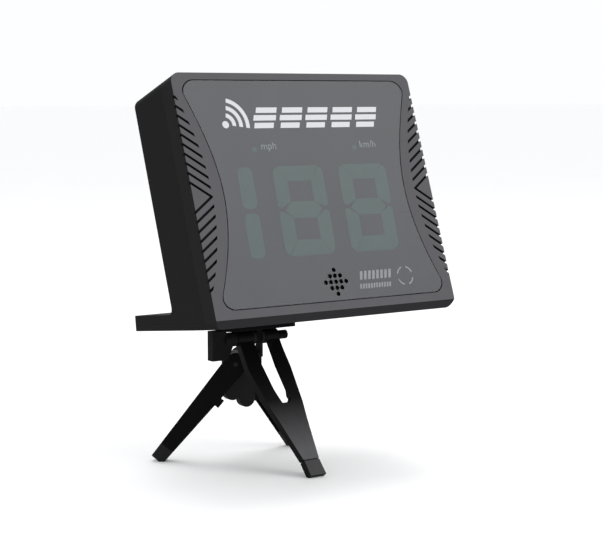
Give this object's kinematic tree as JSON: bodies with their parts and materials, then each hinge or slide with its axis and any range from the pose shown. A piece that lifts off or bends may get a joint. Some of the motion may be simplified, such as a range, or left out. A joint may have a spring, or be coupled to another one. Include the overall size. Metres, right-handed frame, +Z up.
{
  "type": "speed radar display",
  "caption": "Sports speed-radar display: leaning case with a seven-segment speed readout behind a smoked window, on a folding tabletop tripod.",
  "frame": {"origin": "centre of the bounding box's bottom face, on the floor the feet stand on", "axes": "+Z up; +X to the right of someone facing the display; +Y from the display's face towards its back"},
  "size_m": [0.17, 0.1222, 0.2409],
  "materials": {
    "case_shell": "fine-textured charcoal moulding",
    "bezel": "satin charcoal moulding",
    "base_cover": "satin charcoal moulding",
    "window": "smoked satin-gloss sheet",
    "circuit_board": "solder mask over copper",
    "speaker_cone": "paper cone in a plastic frame",
    "digit": "diffusing plastic, unlit",
    "cell": "printed foil sleeve on a steel can",
    "tripod": "satin black moulding",
    "foot_tip": "dull black tip",
    "rubber": "matt rubber",
    "steel": "zinc-plated",
    "brass": "turned"
  },
  "bodies": {
    "tripod_hub": {"hub": "tripod", "tilt_bolt": "steel", "tilt_nut": "tripod", "left_leg_pin": "steel", "right_leg_pin": "steel"},
    "front_leg": {"front_leg": "tripod", "front_foot": "foot_tip"},
    "left_leg": {"left_leg": "tripod", "left_foot": "foot_tip"},
    "right_leg": {"right_leg": "tripod", "right_foot": "foot_tip"},
    "tilt_lever": {"tilt_lever": "tripod"},
    "display": {"rear_housing": "case_shell", "front_bezel": "bezel", "base_cover": "base_cover", "display_window": "window", "main_board": "circuit_board", "radar_module": "circuit_board", "speaker": "speaker_cone", "key_board": "circuit_board", "battery_tray": "case_shell", "thread_insert": "brass", "digit_hundreds": "digit", "digit_tens": "digit", "digit_units": "digit", "left_unit_lamp": "digit", "right_unit_lamp": "digit", "battery_contact_lower": "steel", "battery_contact_upper": "steel", "battery_1": "cell", "battery_2": "cell", "battery_3": "cell", "battery_4": "cell", "housing_screw_1": "steel", "housing_screw_2": "steel", "housing_screw_3": "steel", "housing_screw_4": "steel", "base_screw_1": "steel", "base_screw_2": "steel", "base_screw_3": "steel", "base_screw_4": "steel", "plate_pad": "rubber", "tilt_head": "tripod", "mount_stud": "steel"},
    "power_button": {"power_button": "rubber"},
    "units_button": {"units_button": "rubber"},
    "mode_button": {"mode_button": "rubber"},
    "battery_door": {"battery_door": "case_shell"}
  },
  "joints": [
    {"name": "display_tilt", "type": "hinge", "parent": "tripod_hub", "child": "display", "pos_m": [-0.008, 0.0183, 0.079], "axis": [1, 0, 0], "range_deg": [-35, 30]},
    {"name": "lever_turn", "type": "hinge", "parent": "tripod_hub", "child": "tilt_lever", "pos_m": [-0.033, 0.0183, 0.079], "axis": [1, 0, 0], "range_deg": [-60, 60]},
    {"name": "front_leg_fold", "type": "hinge", "parent": "tripod_hub", "child": "front_leg", "pos_m": [-0.008, 0.0183, 0.079], "axis": [1, 0, 0], "range_deg": [0, 18]},
    {"name": "left_leg_fold", "type": "hinge", "parent": "tripod_hub", "child": "left_leg", "pos_m": [-0.019, 0.0238, 0.0625], "axis": [-0.6459, -0.7634, 0], "range_deg": [0, 32]},
    {"name": "right_leg_fold", "type": "hinge", "parent": "tripod_hub", "child": "right_leg", "pos_m": [-0.0035, 0.0423, 0.062], "axis": [-0.047, 0.9989, 0], "range_deg": [0, 28]},
    {"name": "power_button_press", "type": "slide", "parent": "display", "child": "power_button", "axis": [0, -0.9403, 0.3404], "range_m": [0, 0.0008], "stiffness_N_per_m": 300, "springref_m": -0.002},
    {"name": "units_button_press", "type": "slide", "parent": "display", "child": "units_button", "axis": [0, -0.9403, 0.3404], "range_m": [0, 0.0008], "stiffness_N_per_m": 300, "springref_m": -0.002},
    {"name": "mode_button_press", "type": "slide", "parent": "display", "child": "mode_button", "axis": [0, -0.9403, 0.3404], "range_m": [0, 0.0008], "stiffness_N_per_m": 300, "springref_m": -0.002},
    {"name": "battery_door_open", "type": "hinge", "parent": "display", "child": "battery_door", "pos_m": [0, -0.01044, 0.11014], "axis": [-1, 0, 0], "range_deg": [0, 70]}
  ]
}
